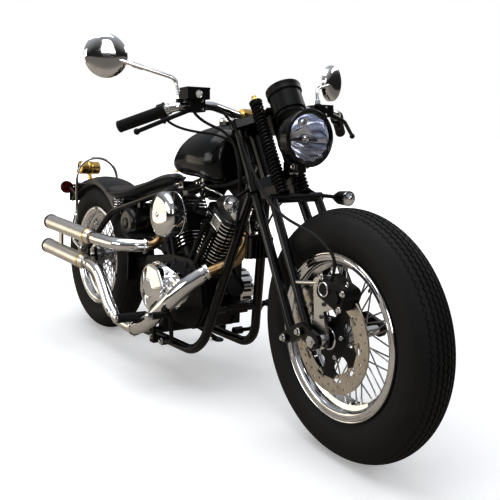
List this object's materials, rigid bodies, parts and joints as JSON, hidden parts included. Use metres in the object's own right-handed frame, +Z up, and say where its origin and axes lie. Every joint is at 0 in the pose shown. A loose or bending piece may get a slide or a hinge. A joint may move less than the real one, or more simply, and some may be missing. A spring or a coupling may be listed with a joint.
{
  "type": "bobber motorcycle",
  "caption": "Black rigid-frame bobber motorcycle with a finned V engine, spring fork, wire wheels, solo seat and right-side exhaust, leaning on its side stand.",
  "frame": {"origin": "on the ground under the middle of the parked machine's box: midway between the axles, and across midway between the mirrors' outer edges", "axes": "+X forward, +Y to the rider's left, +Z up; the machine leans to +Y on its side stand"},
  "size_m": [2.2788, 0.9449, 1.1652],
  "materials": {
    "gloss_black": "gloss",
    "chrome": "polished",
    "cast_alloy": "satin",
    "satin_steel": "satin",
    "brass": "polished",
    "tyre_rubber": "satin",
    "grip_rubber": "matte",
    "leather": "satin",
    "clear_lens": "clear",
    "red_lens": "gloss"
  },
  "bodies": {
    "chassis": {"frame_spine": "gloss_black", "frame_stays": "gloss_black", "frame_cradle": "gloss_black", "rear_axle": "chrome", "fuel_tank": "gloss_black", "seat": "leather", "seat_springs": "chrome", "rear_fender": "gloss_black", "fender_hoop": "chrome", "tail_lamp": "brass", "rear_reflectors": "red_lens", "plate_bracket": "gloss_black", "crankcase": "cast_alloy", "cylinder_front": "gloss_black", "cylinder_rear": "gloss_black", "rocker_covers": "chrome", "carburettor": "gloss_black", "air_cleaner": "chrome", "clutch_cover": "chrome", "generator_cover": "chrome", "exhaust_front": "chrome", "exhaust_rear": "chrome", "silencers": "satin_steel", "oil_tank": "gloss_black", "horn": "chrome", "regulator": "gloss_black", "foot_controls_right": "gloss_black", "foot_controls_left": "gloss_black", "drive_chain": "satin_steel", "stand_bracket": "gloss_black", "control_cables": "grip_rubber"},
    "steering": {"fork_legs": "gloss_black", "spring_legs": "gloss_black", "fork_trees": "gloss_black", "fork_springs": "chrome", "brass_fittings": "brass", "fork_rockers": "gloss_black", "front_axle": "chrome", "caliper_bracket": "cast_alloy", "brake_caliper": "gloss_black", "headlight_bucket": "gloss_black", "headlight_lens": "clear_lens", "speedometer": "gloss_black", "front_signals": "gloss_black", "handlebar": "chrome", "grips": "grip_rubber", "brake_master": "gloss_black", "clutch_perch": "gloss_black", "mirrors": "chrome", "brake_hose": "grip_rubber"},
    "front_wheel": {"front_tyre": "tyre_rubber", "front_rim": "chrome", "front_hub": "chrome", "front_disc": "satin_steel"},
    "rear_wheel": {"rear_tyre": "tyre_rubber", "rear_rim": "chrome", "rear_hub": "chrome", "rear_sprocket": "satin_steel"},
    "side_stand": {"side_stand": "gloss_black"}
  },
  "joints": [
    {"name": "steer", "type": "hinge", "parent": "chassis", "child": "steering", "pos_m": [0.38542, 0.02686, 0.79529], "axis": [-0.5, 0.0755, 0.8627], "range_deg": [-30, 40], "deforming": ["control_cables"]},
    {"name": "front_wheel_spin", "type": "hinge", "parent": "steering", "child": "front_wheel", "pos_m": [0.79957, -0.02438, 0.3397], "axis": [0.0755, 0.9962, -0.0434], "continuous": true},
    {"name": "rear_wheel_spin", "type": "hinge", "parent": "chassis", "child": "rear_wheel", "pos_m": [-0.8, -0.01307, 0.33896], "axis": [0, 0.9962, -0.0872], "continuous": true},
    {"name": "side_stand_fold", "type": "hinge", "parent": "chassis", "child": "side_stand", "pos_m": [-0.37, 0.13014, 0.10559], "axis": [0.1774, 0.5874, 0.7896], "range_deg": [0, 120.8]}
  ]
}
